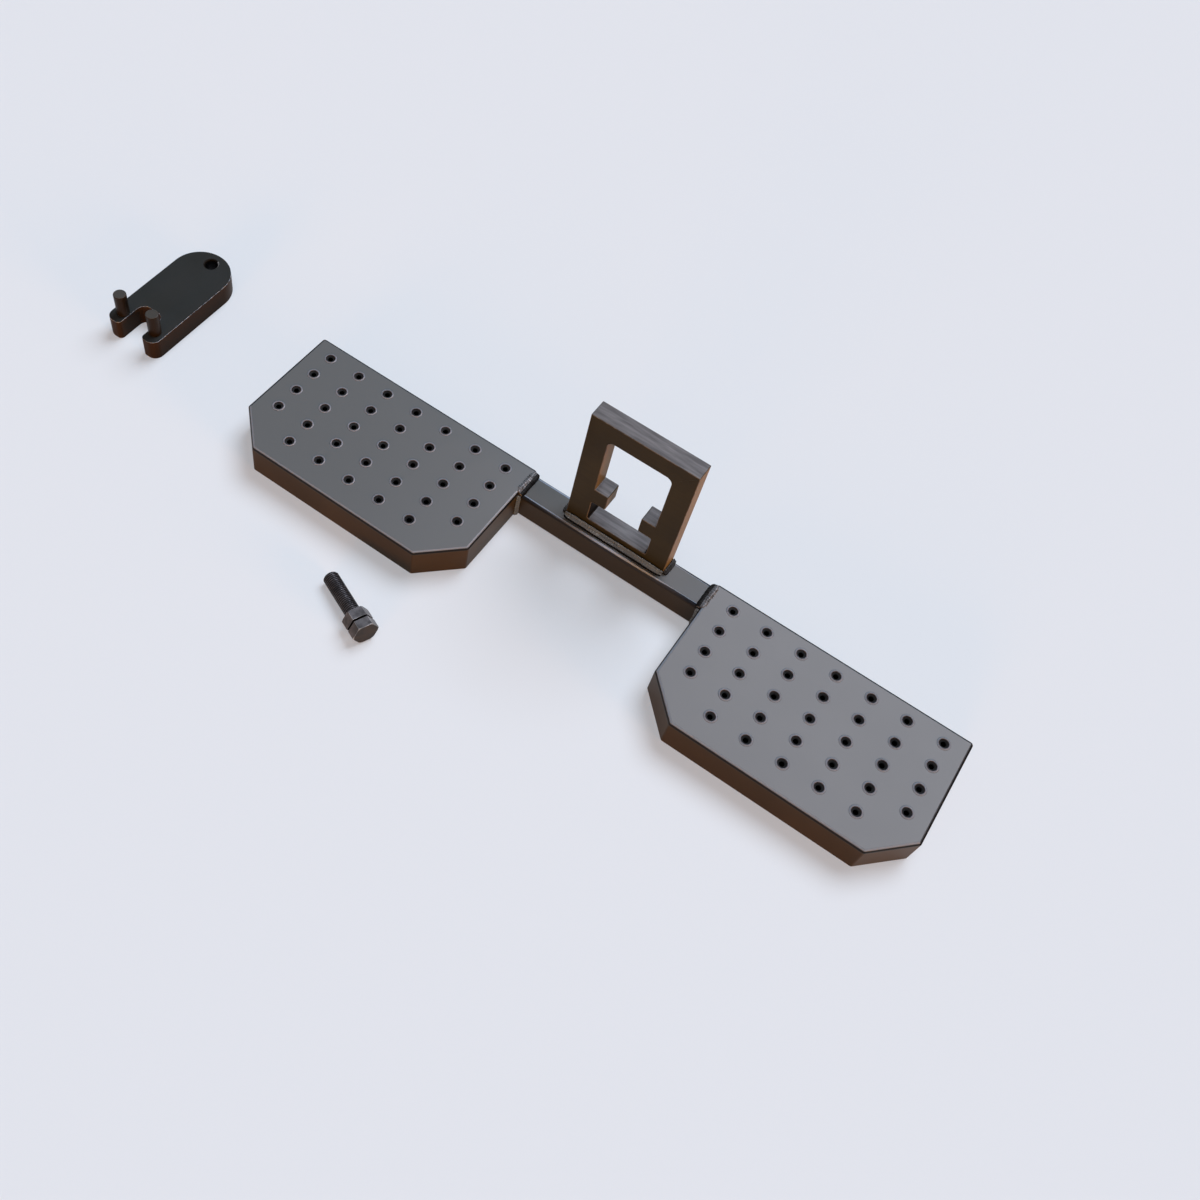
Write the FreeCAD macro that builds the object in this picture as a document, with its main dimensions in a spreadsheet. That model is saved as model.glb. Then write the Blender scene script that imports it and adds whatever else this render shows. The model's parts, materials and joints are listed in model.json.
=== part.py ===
import FreeCAD, Part
import math
import os
import Sketcher

Vector = FreeCAD.Vector

document = FreeCAD.newDocument("HitchReceiverStep")

# Driving sizes in millimetres and degrees. X runs along the crossbar from the left pad to the
# right one, Y points to the rear and Z up. The origin is on the floor, under the middle of the
# crossbar.
SIZES = [
    ("overall_length", 914),
    ("pad_gap", 254),
    ("pad_depth", 190),
    ("pad_height", 43),
    ("pad_corner_cut", 46),
    ("pad_sheet", 3),
    ("pad_bend_radius", 4),
    ("hole_columns", 7),
    ("hole_rows", 5),
    ("hole_outer_margin", 28.4),
    ("hole_inner_margin", 32.8),
    ("hole_rear_margin", 22.5),
    ("hole_front_margin", 35.5),
    ("hole_diameter", 6.4),
    ("dish_diameter", 12.6),
    ("dish_depth", 1.6),
    ("hole_sides", 8),
    ("tube_size", 38.1),
    ("tube_wall", 3.2),
    ("tube_corner_radius", 4.5),
    ("tube_rear_setback", 3),
    ("frame_width", 136),
    ("frame_height", 185),
    ("frame_depth", 24),
    ("frame_edge_radius", 1),
    ("window_width", 81.5),
    ("window_corner_radius", 8),
    ("top_bar", 26),
    ("bottom_bar", 14),
    ("slot_height", 33),
    ("slot_corner_radius", 3),
    ("tab_height", 23.4),
    ("tab_gap", 44.8),
    ("tab_corner_radius", 1.5),
    ("lock_side_clearance", 0.4),
    ("lock_height_clearance", 4),
    ("lock_length", 171),
    ("notch_width", 36),
    ("notch_length", 45),
    ("notch_corner_radius", 12),
    ("prong_tip_radius", 12),
    ("prong_inner_share", 0.55),
    ("pin_diameter", 16.5),
    ("pin_height", 33),
    ("pin_spigot_diameter", 12),
    ("pin_seat_depth", 18),
    ("pin_seat_clearance", 0.05),
    ("pin_tip_setback", 18),
    ("pin_notch_distance", 8.5),
    ("core_diameter", 16.2),
    ("core_end_distance", 18),
    ("core_sink_diameter", 20.5),
    ("bolt_diameter", 19),
    ("bolt_length", 89.5),
    ("bolt_tip", 2),
    ("hex_flats", 28.6),
    ("hex_corner_trim", 1.6),
    ("head_height", 12),
    ("nut_height", 13),
    ("nut_clearance", 0.05),
    ("nut_head_gap", 2.8),
    ("weld_leg", 8),
    ("weld_seam_leg", 3.6),
    ("weld_end_leg", 6.5),
    ("weld_top_leg", 8),
    ("weld_top_turn", 130),
    ("weld_side_leg", 5.5),
    ("weld_fillet_sag", 0.2),
    ("weld_crown_sag", 0.3),
    ("weld_ripple", 1.1),
    ("weld_pitch", 8.5),
    ("lock_place_x", -659.5),
    ("lock_place_y", 13),
    ("lock_heading", -89.1),
    ("bolt_place_x", -158.6),
    ("bolt_place_y", -270),
    ("bolt_heading", 155.7),
]

# Sizes and places that follow from the driving ones.
DERIVED = [
    ("half_length", "Sizes.overall_length / 2"),
    ("half_gap", "Sizes.pad_gap / 2"),
    ("tube_rear", "Sizes.tube_size / 2"),
    ("tube_front", "-Sizes.tube_size / 2"),
    ("pad_rear", "Sizes.tube_size / 2 + Sizes.tube_rear_setback"),
    ("hole_row_length", "(Sizes.overall_length - Sizes.pad_gap) / 2 - Sizes.hole_outer_margin"
                        " - Sizes.hole_inner_margin"),
    ("hole_pitch_along", "hole_row_length / (Sizes.hole_columns - 1)"),
    ("hole_column_length", "Sizes.pad_depth - Sizes.hole_rear_margin - Sizes.hole_front_margin"),
    ("hole_pitch_across", "hole_column_length / (Sizes.hole_rows - 1)"),
    ("frame_front", "Sizes.tube_size / 2 - Sizes.frame_depth"),
    ("frame_side", "Sizes.frame_width / 2"),
    ("frame_top", "Sizes.tube_size + Sizes.frame_height"),
    ("slot_floor", "Sizes.tube_size + Sizes.bottom_bar"),
    ("slot_top", "Sizes.tube_size + Sizes.bottom_bar + Sizes.slot_height"),
    ("tab_top", "Sizes.tube_size + Sizes.bottom_bar + Sizes.slot_height + Sizes.tab_height"),
    ("window_top", "Sizes.tube_size + Sizes.frame_height - Sizes.top_bar"),
    ("window_side", "Sizes.window_width / 2"),
    ("tab_side", "Sizes.tab_gap / 2"),
    ("lock_side", "Sizes.window_width / 2 - Sizes.lock_side_clearance"),
    ("lock_thickness", "Sizes.slot_height - Sizes.lock_height_clearance"),
    ("lock_tip", "Sizes.lock_length - Sizes.window_width / 2 + Sizes.lock_side_clearance"),
    ("pin_along", "lock_tip - Sizes.pin_tip_setback"),
    ("pin_aside", "Sizes.notch_width / 2 + Sizes.pin_notch_distance"),
    ("prong_inner_radius", "(lock_side - Sizes.notch_width / 2 - Sizes.prong_tip_radius)"
                           " * Sizes.prong_inner_share"),
    ("hex_corner", "Sizes.hex_flats / sqrt(3)"),
    ("nut_near", "Sizes.head_height + Sizes.nut_head_gap"),
    ("nut_far", "Sizes.head_height + Sizes.nut_head_gap + Sizes.nut_height"),
]


def make_sheet(name, entries):
    sheet = document.addObject("Spreadsheet::Sheet", name)
    for row, (alias, content) in enumerate(entries, 1):
        text = "=" + content if isinstance(content, str) else str(content)
        sheet.set("A%d" % row, alias)
        sheet.set("B%d" % row, text)
        sheet.setAlias("B%d" % row, alias)
    document.recompute()
    return sheet


sizes = make_sheet("Sizes", SIZES)
places = make_sheet("Places", DERIVED)


# The present value of an expression that names cells of the two sheets.
def number(expression):
    return float(sizes.evalExpression(expression))


def new_body(label):
    body = document.addObject("PartDesign::Body", label)
    body.Label = label
    return body


def origin_item(body, role):
    for feature in body.Origin.OriginFeatures:
        if feature.Role == role:
            return feature
    raise RuntimeError("no plane or axis " + role)


# A sketch on one of the body's own planes, moved along the plane's normal by an expression.
def new_sketch(body, name, role, offset="0"):
    sketch = body.newObject("Sketcher::SketchObject", name)
    sketch.AttachmentSupport = [(origin_item(body, role), "")]
    sketch.MapMode = "FlatFace"
    sketch.setExpression("AttachmentOffset.Base.z", offset)
    return sketch


def bind(sketch, constraint, expression):
    index = sketch.addConstraint(constraint)
    sketch.setExpression("Constraints[%d]" % index, expression)


# Ties a point of a sketch to two expressions measured from the sketch's origin.
def pin_point(sketch, geometry, point, across, up):
    across_value = number(across)
    up_value = number(up)
    bind(sketch, Sketcher.Constraint("DistanceX", -1, 1, geometry, point, across_value), across)
    bind(sketch, Sketcher.Constraint("DistanceY", -1, 1, geometry, point, up_value), up)


# A closed outline of straight edges through points given as pairs of expressions.
def add_outline(sketch, points):
    corners = [Vector(number(across), number(up), 0) for across, up in points]
    first = sketch.GeometryCount
    count = len(corners)
    for index, corner in enumerate(corners):
        sketch.addGeometry(Part.LineSegment(corner, corners[(index + 1) % count]), False)
    for index in range(count):
        follower = first + (index + 1) % count
        sketch.addConstraint(Sketcher.Constraint("Coincident", first + index, 2, follower, 1))
    for index, (across, up) in enumerate(points):
        pin_point(sketch, first + index, 1, across, up)


def add_circle(sketch, across, up, diameter):
    centre = Vector(number(across), number(up), 0)
    radius = number(diameter) / 2
    index = sketch.addGeometry(Part.Circle(centre, Vector(0, 0, 1), radius), False)
    pin_point(sketch, index, 3, across, up)
    bind(sketch, Sketcher.Constraint("Diameter", index, 2 * radius), diameter)


def rectangle(left, right, bottom, top):
    return [(left, bottom), (right, bottom), (right, top), (left, top)]


def add_feature(body, kind, name, profile=None, **bound):
    feature = body.newObject("PartDesign::" + kind, name)
    if profile is not None:
        feature.Profile = profile
    for key, expression in bound.items():
        feature.setExpression(key, expression)
    return feature


def recompute():
    document.recompute()


# Cuts away what a sketch outlines, and makes sure that the cut met the solid.
def add_pocket(body, name, sketch, depth, reversed_way=False):
    recompute()
    before = body.Shape.Volume
    pocket = add_feature(body, "Pocket", name, sketch, Length=depth)
    pocket.Reversed = reversed_way
    recompute()
    if not body.Shape.Volume < before - 1:
        raise RuntimeError(name + " cuts nothing")
    return pocket


# Names of the edges of a feature that a test picks.
def edges_of(feature, chosen):
    picked = []
    for index, edge in enumerate(feature.Shape.Edges, 1):
        if chosen(edge):
            picked.append("Edge%d" % index)
    if not picked:
        raise RuntimeError("no edge to round on " + feature.Name)
    return picked


def round_edges(body, name, chosen, radius):
    recompute()
    base = body.Tip
    fillet = add_feature(body, "Fillet", name, Radius=radius)
    fillet.Base = (base, edges_of(base, chosen))
    recompute()
    return fillet


def bevel_edges(body, name, chosen, size):
    recompute()
    base = body.Tip
    chamfer = add_feature(body, "Chamfer", name, Size=size)
    chamfer.Base = (base, edges_of(base, chosen))
    recompute()
    return chamfer


def straight_along(edge, direction):
    if not isinstance(edge.Curve, Part.Line):
        return False
    return abs(edge.tangentAt(edge.FirstParameter).dot(direction)) > 0.999


def near(value, target):
    return abs(value - target) < 0.01


# Holes straight down from a sketch of circles, with a cone at the mouth.
def add_sunk_holes(body, name, sketch, hole_diameter, sink_diameter, sink_angle):
    recompute()
    before = body.Shape.Volume
    hole = add_feature(body, "Hole", name, sketch)
    recompute()
    hole.Threaded = False
    hole.DepthType = "ThroughAll"
    hole.HoleCutType = "Countersink"
    hole.HoleCutCustomValues = True
    hole.setExpression("Diameter", hole_diameter)
    hole.setExpression("HoleCutDiameter", sink_diameter)
    hole.setExpression("HoleCutCountersinkAngle", sink_angle)
    recompute()
    if not body.Shape.Volume < before - 1:
        raise RuntimeError(name + " cuts nothing")
    return hole


# The tread: folded sheet with straight rear edge, both front corners cut off, open below.
def make_left_pad():
    body = new_body("PadTray")
    outline = new_sketch(body, "PadOutline", "XY_Plane")
    rear = "Places.pad_rear"
    shoulder = "Places.pad_rear - Sizes.pad_depth + Sizes.pad_corner_cut"
    front = "Places.pad_rear - Sizes.pad_depth"
    add_outline(outline, [
        ("-Places.half_length", rear),
        ("-Places.half_length", shoulder),
        ("-Places.half_length + Sizes.pad_corner_cut", front),
        ("-Places.half_gap - Sizes.pad_corner_cut", front),
        ("-Places.half_gap", shoulder),
        ("-Places.half_gap", rear),
    ])
    add_feature(body, "Pad", "PadBlock", outline, Length="Sizes.pad_height")
    upright = Vector(0, 0, 1)
    top = number("Sizes.pad_height")
    round_edges(body, "PadCorners", lambda edge: straight_along(edge, upright), "Sizes.pad_bend_radius")
    round_edges(body, "PadBend", lambda edge: near(edge.BoundBox.ZMin, top), "Sizes.pad_bend_radius")
    block = body.Tip
    floor_faces = []
    for index, face in enumerate(block.Shape.Faces, 1):
        if near(face.BoundBox.ZMax, 0):
            floor_faces.append("Face%d" % index)
    shell = add_feature(body, "Thickness", "PadSheet", Value="Sizes.pad_sheet")
    shell.Base = (block, floor_faces)
    shell.Reversed = True
    recompute()
    return punch_tread(body)


# A solid with flat faces between rings of points that follow one another.
def faceted_solid(rings):
    faces = [Part.Face(Part.makePolygon(ring + ring[:1])) for ring in (rings[0], rings[-1])]
    for ring, follower in zip(rings, rings[1:]):
        for index in range(len(ring)):
            other = (index + 1) % len(ring)
            corners = [ring[index], ring[other], follower[other], follower[index], ring[index]]
            faces.append(Part.Face(Part.makePolygon(corners)))
    solid = Part.Solid(Part.Shell(faces))
    if solid.Volume < 0:
        solid.reverse()
    return solid.removeSplitter()


# A level regular polygon, as wide from flat to flat as the diameter.
def polygon_ring(centre, up, diameter, sides):
    reach = diameter / 2 / math.cos(math.pi / sides)
    ring = []
    for step in range(sides):
        angle = (2 * step + 1) * math.pi / sides
        ring.append(centre + Vector(reach * math.cos(angle), reach * math.sin(angle), up))
    return ring


# Punches for the tread's grid of dished holes. The front row leaves out both ends, at the cut
# corners. A dish narrows down to the hole that goes on through the sheet.
def make_punches():
    columns = int(number("Sizes.hole_columns"))
    rows = int(number("Sizes.hole_rows"))
    sides = int(number("Sizes.hole_sides"))
    top = number("Sizes.pad_height")
    depth = number("Sizes.dish_depth")
    mouth = number("Sizes.dish_diameter")
    throat = number("Sizes.hole_diameter")
    under = top - number("Sizes.pad_sheet") - depth
    wide = 2 * mouth - throat
    punches = []
    for column in range(columns):
        cut_corner = column in (0, columns - 1)
        for row in range(rows - 1 if cut_corner else rows):
            across = number("-Places.half_length + Sizes.hole_outer_margin")
            across += column * number("Places.hole_pitch_along")
            back = number("Places.pad_rear - Sizes.hole_rear_margin")
            back -= row * number("Places.hole_pitch_across")
            centre = Vector(across, back, 0)
            punches.append(faceted_solid([
                polygon_ring(centre, top + depth, wide, sides),
                polygon_ring(centre, top - depth, throat, sides),
                polygon_ring(centre, under, throat, sides),
            ]))
    return Part.makeCompound(punches)


def punch_tread(tray):
    punches = document.addObject("Part::Feature", "TreadPunches")
    punches.Shape = make_punches()
    tread = document.addObject("Part::Cut", "left_pad")
    tread.Label = "left_pad"
    tread.Base = tray
    tread.Tool = punches
    recompute()
    if not tread.Shape.Volume < tray.Shape.Volume - 1:
        raise RuntimeError("the punches cut nothing")
    return tread


# Square tube with round corners, butted between the inner walls of the two pads.
def make_crossbar():
    body = new_body("crossbar_tube")
    section = new_sketch(body, "TubeSection", "YZ_Plane", "-Places.half_gap")
    add_outline(section, rectangle("Places.tube_front", "Places.tube_rear", "0", "Sizes.tube_size"))
    add_feature(body, "Pad", "TubeBlock", section, Length="Sizes.pad_gap")
    along = Vector(1, 0, 0)
    round_edges(body, "TubeCorners", lambda edge: straight_along(edge, along),
                "Sizes.tube_corner_radius")
    bore = new_sketch(body, "TubeBore", "YZ_Plane", "Places.half_gap")
    add_outline(bore, rectangle("Places.tube_front + Sizes.tube_wall",
                                "Places.tube_rear - Sizes.tube_wall",
                                "Sizes.tube_wall", "Sizes.tube_size - Sizes.tube_wall"))
    add_pocket(body, "TubeInside", bore, "Sizes.pad_gap")
    return body


# Thick plate on edge. The window takes the receiver tube of the hitch, and the slot below the two
# tabs takes the lock plate.
def make_frame():
    body = new_body("receiver_frame")
    face = new_sketch(body, "FrameFace", "XZ_Plane", "-Places.tube_rear")
    add_outline(face, rectangle("-Places.frame_side", "Places.frame_side", "Sizes.tube_size",
                                "Places.frame_top"))
    add_outline(face, [
        ("-Places.window_side", "Places.slot_floor"),
        ("Places.window_side", "Places.slot_floor"),
        ("Places.window_side", "Places.slot_top"),
        ("Places.tab_side", "Places.slot_top"),
        ("Places.tab_side", "Places.tab_top"),
        ("Places.window_side", "Places.tab_top"),
        ("Places.window_side", "Places.window_top"),
        ("-Places.window_side", "Places.window_top"),
        ("-Places.window_side", "Places.tab_top"),
        ("-Places.tab_side", "Places.tab_top"),
        ("-Places.tab_side", "Places.slot_top"),
        ("-Places.window_side", "Places.slot_top"),
    ])
    add_feature(body, "Pad", "FramePlate", face, Length="Sizes.frame_depth")
    through = Vector(0, 1, 0)
    window_side = number("Places.window_side")
    tab_side = number("Places.tab_side")
    window_top = number("Places.window_top")
    slot_floor = number("Places.slot_floor")
    slot_top = number("Places.slot_top")

    def through_edge(edge, side, heights):
        middle = edge.CenterOfMass
        level = any(near(middle.z, height) for height in heights)
        return straight_along(edge, through) and near(abs(middle.x), side) and level

    round_edges(body, "WindowCorners", lambda edge: through_edge(edge, window_side, [window_top]),
                "Sizes.window_corner_radius")
    round_edges(body, "SlotCorners",
                lambda edge: through_edge(edge, window_side, [slot_floor, slot_top]),
                "Sizes.slot_corner_radius")
    round_edges(body, "TabCorners",
                lambda edge: through_edge(edge, tab_side, [slot_top, number("Places.tab_top")]),
                "Sizes.tab_corner_radius")
    frame_side = number("Places.frame_side")
    frame_top = number("Places.frame_top")
    round_edges(body, "TopCorners", lambda edge: through_edge(edge, frame_side, [frame_top]),
                "Sizes.frame_edge_radius")
    return body


# The lock plate's own frame: X from the centre of the round end towards the prongs, Z up.
def place_at_lock(body):
    heading = FreeCAD.Rotation(Vector(0, 0, 1), number("Sizes.lock_heading"))
    body.Placement = FreeCAD.Placement(Vector(0, 0, 0), heading)
    body.setExpression("Placement.Base.x", "Sizes.lock_place_x")
    body.setExpression("Placement.Base.y", "Sizes.lock_place_y")


# Thick plate with one round end, a threaded hole and a notch that leaves two prongs.
def make_lock_plate():
    body = new_body("lock_plate")
    face = new_sketch(body, "LockFace", "XY_Plane")
    side = number("Places.lock_side")
    tip = number("Places.lock_tip")
    face.addGeometry(Part.LineSegment(Vector(0, -side, 0), Vector(tip, -side, 0)), False)
    face.addGeometry(Part.LineSegment(Vector(tip, -side, 0), Vector(tip, side, 0)), False)
    face.addGeometry(Part.LineSegment(Vector(tip, side, 0), Vector(0, side, 0)), False)
    end_arc = Part.Arc(Vector(0, side, 0), Vector(-side, 0, 0), Vector(0, -side, 0))
    face.addGeometry(end_arc, False)
    pin_point(face, 0, 1, "0", "-Places.lock_side")
    pin_point(face, 1, 1, "Places.lock_tip", "-Places.lock_side")
    pin_point(face, 2, 1, "Places.lock_tip", "Places.lock_side")
    pin_point(face, 2, 2, "0", "Places.lock_side")
    face.addConstraint(Sketcher.Constraint("Coincident", 0, 2, 1, 1))
    face.addConstraint(Sketcher.Constraint("Coincident", 1, 2, 2, 1))
    face.addConstraint(Sketcher.Constraint("Coincident", 3, 1, 2, 2))
    face.addConstraint(Sketcher.Constraint("Coincident", 3, 2, 0, 1))
    face.addConstraint(Sketcher.Constraint("PointOnObject", 3, 3, -2))
    add_feature(body, "Pad", "LockBlock", face, Length="Places.lock_thickness")

    notch = new_sketch(body, "LockNotch", "XY_Plane", "Places.lock_thickness")
    add_outline(notch, rectangle("Places.lock_tip - Sizes.notch_length", "Places.lock_tip + 1",
                                 "-Sizes.notch_width / 2", "Sizes.notch_width / 2"))
    add_pocket(body, "NotchCut", notch, "Places.lock_thickness")

    upright = Vector(0, 0, 1)
    notch_end = tip - number("Sizes.notch_length")

    def upright_at(edge, along):
        return straight_along(edge, upright) and near(edge.CenterOfMass.x, along)

    round_edges(body, "NotchCorners", lambda edge: upright_at(edge, notch_end),
                "Sizes.notch_corner_radius")

    def prong_corner(edge, aside):
        return upright_at(edge, tip) and near(abs(edge.CenterOfMass.y), aside)

    round_edges(body, "ProngTips", lambda edge: prong_corner(edge, side), "Sizes.prong_tip_radius")
    inner = number("Sizes.notch_width / 2")
    round_edges(body, "ProngInnerTips", lambda edge: prong_corner(edge, inner),
                "Places.prong_inner_radius")

    core = new_sketch(body, "CoreHole", "XY_Plane", "Places.lock_thickness")
    add_circle(core, "-Places.lock_side + Sizes.core_end_distance", "0", "Sizes.core_diameter")
    add_sunk_holes(body, "ThreadCore", core, "Sizes.core_diameter", "Sizes.core_sink_diameter", "90")

    seats = new_sketch(body, "PinSeats", "XY_Plane", "Places.lock_thickness")
    for sign in ("-", ""):
        add_circle(seats, "Places.pin_along", sign + "Places.pin_aside",
                   "Sizes.pin_spigot_diameter + 2 * Sizes.pin_seat_clearance")
    add_pocket(body, "SeatCuts", seats, "Sizes.pin_seat_depth")
    place_at_lock(body)
    return body


# Round pin that stands on one prong, with a thinner spigot down in its blind seat.
def make_lock_pin(label, sign):
    body = new_body(label)
    section = new_sketch(body, "PinSection", "XY_Plane", "Places.lock_thickness")
    add_circle(section, "Places.pin_along", sign + "Places.pin_aside", "Sizes.pin_diameter")
    add_feature(body, "Pad", "PinStem", section, Length="Sizes.pin_height")
    foot = new_sketch(body, "SpigotSection", "XY_Plane",
                      "Places.lock_thickness - Sizes.pin_seat_depth")
    add_circle(foot, "Places.pin_along", sign + "Places.pin_aside", "Sizes.pin_spigot_diameter")
    add_feature(body, "Pad", "Spigot", foot, Length="Sizes.pin_seat_depth")
    place_at_lock(body)
    return body


# The bolt's own frame: X from the end of the head towards the tip. The bolt lies on the far edge
# of its nut and on the rim of its tip, which tilts it.
def place_at_bolt(body):
    half_flats = number("Sizes.hex_flats / 2")
    radius = number("Sizes.bolt_diameter / 2")
    nut_far = number("Places.nut_far")
    rim = number("Sizes.bolt_length - Sizes.bolt_tip")
    tilt = math.degrees(math.atan2(half_flats - radius, rim - nut_far))
    rise = rim * math.sin(math.radians(tilt)) + radius * math.cos(math.radians(tilt))
    base = Vector(number("Sizes.bolt_place_x"), number("Sizes.bolt_place_y"), rise)
    body.Placement = FreeCAD.Placement(base, FreeCAD.Rotation(number("Sizes.bolt_heading"), tilt, 0))


def hexagon():
    corner = "Places.hex_corner"
    flat = "Sizes.hex_flats / 2"
    return [
        (corner, "0"),
        (corner + " / 2", flat),
        ("-" + corner + " / 2", flat),
        ("-" + corner, "0"),
        ("-" + corner + " / 2", "-" + flat),
        (corner + " / 2", "-" + flat),
    ]


# Turns the corners of a hexagon off at one end, as on a forged head or nut. The end is given as
# a place along X and the side, plus or minus, on which the solid lies.
def trim_hex_corners(body, name, end, inward):
    wedge = new_sketch(body, name + "Profile", "XY_Plane")
    outside = "Places.hex_corner + 1"
    start = "Places.hex_corner - Sizes.hex_corner_trim"
    slope = "(Sizes.hex_corner_trim + 1) * tan(30)"
    add_outline(wedge, [(end, start), (end, outside), (end + inward + slope, outside)])
    recompute()
    before = body.Shape.Volume
    groove = add_feature(body, "Groove", name, wedge)
    groove.ReferenceAxis = (wedge, ["H_Axis"])
    groove.Angle = 360
    recompute()
    if not body.Shape.Volume < before - 1:
        raise RuntimeError(name + " cuts nothing")
    return groove


def make_clamp_bolt():
    body = new_body("clamp_bolt")
    head = new_sketch(body, "HeadSection", "YZ_Plane")
    add_outline(head, hexagon())
    add_feature(body, "Pad", "HeadBlock", head, Length="Sizes.head_height")
    trim_hex_corners(body, "HeadTrim", "0", " + ")
    shank = new_sketch(body, "ShankSection", "YZ_Plane", "Sizes.head_height")
    add_circle(shank, "0", "0", "Sizes.bolt_diameter")
    add_feature(body, "Pad", "Shank", shank, Length="Sizes.bolt_length - Sizes.head_height")
    tip = number("Sizes.bolt_length")
    bevel_edges(body, "ShankTip", lambda edge: near(edge.BoundBox.XMin, tip), "Sizes.bolt_tip")
    place_at_bolt(body)
    return body


def make_jam_nut():
    body = new_body("jam_nut")
    section = new_sketch(body, "NutSection", "YZ_Plane", "Places.nut_near")
    add_outline(section, hexagon())
    add_circle(section, "0", "0", "Sizes.bolt_diameter + 2 * Sizes.nut_clearance")
    add_feature(body, "Pad", "NutBlock", section, Length="Sizes.nut_height")
    trim_hex_corners(body, "NutTrim", "Places.nut_far", " - ")
    place_at_bolt(body)
    return body


# A rippled weld bead of flat facets. It rises from a valley to a crest and falls again at each
# ripple along the seam, which runs along the bead's own X. Its sections are fans about the seam
# that begin straight up, turn towards the bead's own -Y and sag in the middle of the turn.
def ripple_bead(name, length, leg, turn, facets, sag):
    run = number(length)
    crest = number(leg)
    valley = crest - number("Sizes.weld_ripple")
    count = max(2, round(run / number("Sizes.weld_pitch")))
    rings = []
    for step in range(2 * count + 1):
        reach = crest if step % 2 else valley
        along = run * step / (2 * count)
        ring = [Vector(along, 0, 0)]
        for facet in range(facets + 1):
            angle = math.radians(turn * facet / facets)
            radius = reach * (1 - number(sag) * math.sin(math.pi * facet / facets))
            ring.append(Vector(along, -radius * math.sin(angle), radius * math.cos(angle)))
        rings.append(ring)
    bead = document.addObject("Part::Feature", name)
    bead.Label = name
    bead.Shape = faceted_solid(rings)
    return bead


# Sets a bead's start by three expressions, the way it runs and the side on which its turn begins.
def place_bead(body, across, back, up, along, begin):
    base = Vector(number(across), number(back), number(up))
    body.Placement = FreeCAD.Placement(base, FreeCAD.Rotation(along, begin.cross(along), begin, "XZY"))
    for key, expression in (("x", across), ("y", back), ("z", up)):
        body.setExpression("Placement.Base." + key, expression)


RIGHT = Vector(1, 0, 0)
BACK = Vector(0, 1, 0)
UP = Vector(0, 0, 1)
FILLET = "Sizes.weld_fillet_sag"
CROWN = "Sizes.weld_crown_sag"


# Fillet beads round the foot of the frame and a flat seam bead where its rear face is flush with
# the tube.
def make_frame_welds():
    foot = "Sizes.tube_size"
    side = "Places.frame_side"
    front = ripple_bead("frame_front_weld", "Sizes.frame_width", "Sizes.weld_leg", 90, 3, FILLET)
    place_bead(front, "-" + side, "Places.frame_front", foot, RIGHT, UP)
    rear = ripple_bead("frame_rear_weld", "Sizes.frame_width", "Sizes.weld_seam_leg", 180, 4, CROWN)
    place_bead(rear, side, "Places.tube_rear", foot, -RIGHT, UP)
    left = ripple_bead("frame_left_weld", "Sizes.frame_depth", "Sizes.weld_end_leg", 90, 3, FILLET)
    place_bead(left, "-" + side, "Places.tube_rear", foot, -BACK, UP)
    right = ripple_bead("frame_right_weld", "Sizes.frame_depth", "Sizes.weld_end_leg", 90, 3, FILLET)
    place_bead(right, side, "Places.frame_front", foot, BACK, UP)
    return [front, rear, left, right]


# A bead less what it would share with the left pad.
def clear_of_pad(label, bead, pad):
    cut = document.addObject("Part::Cut", label)
    cut.Label = label
    cut.Base = bead
    cut.Tool = pad
    recompute()
    return cut


# Beads round the end of the tube on the inner wall of the left pad: one over the top that spills
# on the tread, one up the front and one up the rear.
def make_left_welds(pad):
    length = "Sizes.tube_size"
    wall = "-Places.half_gap"
    top_turn = number("Sizes.weld_top_turn")
    top_row = ripple_bead("LeftTopRow", length, "Sizes.weld_top_leg", top_turn, 4, CROWN)
    place_bead(top_row, wall, "Places.tube_rear", length, -BACK, RIGHT)
    top = clear_of_pad("left_top_weld", top_row, pad)
    front = ripple_bead("left_front_weld", length, "Sizes.weld_side_leg", 90, 3, FILLET)
    place_bead(front, wall, "Places.tube_front", length, -UP, RIGHT)
    rear_row = ripple_bead("LeftRearRow", length, "Sizes.weld_side_leg", 180, 4, CROWN)
    place_bead(rear_row, wall, "Places.tube_rear", "0", UP, RIGHT)
    rear = clear_of_pad("left_rear_weld", rear_row, pad)
    return [top, front, rear]


def mirror_to_right(source, label):
    twin = document.addObject("Part::Mirroring", label)
    twin.Label = label
    twin.Source = source
    twin.Normal = Vector(1, 0, 0)
    return twin


def check_document():
    recompute()
    for item in document.Objects:
        faults = [word for word in item.State if word in ("Invalid", "Error")]
        if faults:
            raise RuntimeError("%s is %s" % (item.Name, faults))


def export_nodes(nodes):
    check_document()
    os.makedirs("parts", exist_ok=True)
    for node in nodes:
        shape = node.Shape
        if shape.isNull() or not shape.isValid():
            raise RuntimeError(node.Label + " has no valid shape")
        shape.exportStep("parts/%s.step" % node.Label)
        box = shape.BoundBox
        print("%-18s %d solids %9.0f mm3" % (node.Label, len(shape.Solids), shape.Volume),
              "x %.1f %.1f y %.1f %.1f z %.1f %.1f"
              % (box.XMin, box.XMax, box.YMin, box.YMax, box.ZMin, box.ZMax))


left_pad = make_left_pad()
nodes = [left_pad, mirror_to_right(left_pad, "right_pad"), make_crossbar(), make_frame()]
nodes += make_frame_welds()
for weld in make_left_welds(left_pad):
    nodes += [weld, mirror_to_right(weld, weld.Label.replace("left_", "right_"))]
nodes.append(make_lock_plate())
nodes.append(make_lock_pin("lock_pin_left", "-"))
nodes.append(make_lock_pin("lock_pin_right", ""))
nodes += [make_clamp_bolt(), make_jam_nut()]
export_nodes(nodes)
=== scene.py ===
import json
import math

import bmesh
import bpy
from mathutils import Matrix, Vector, noise


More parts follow.
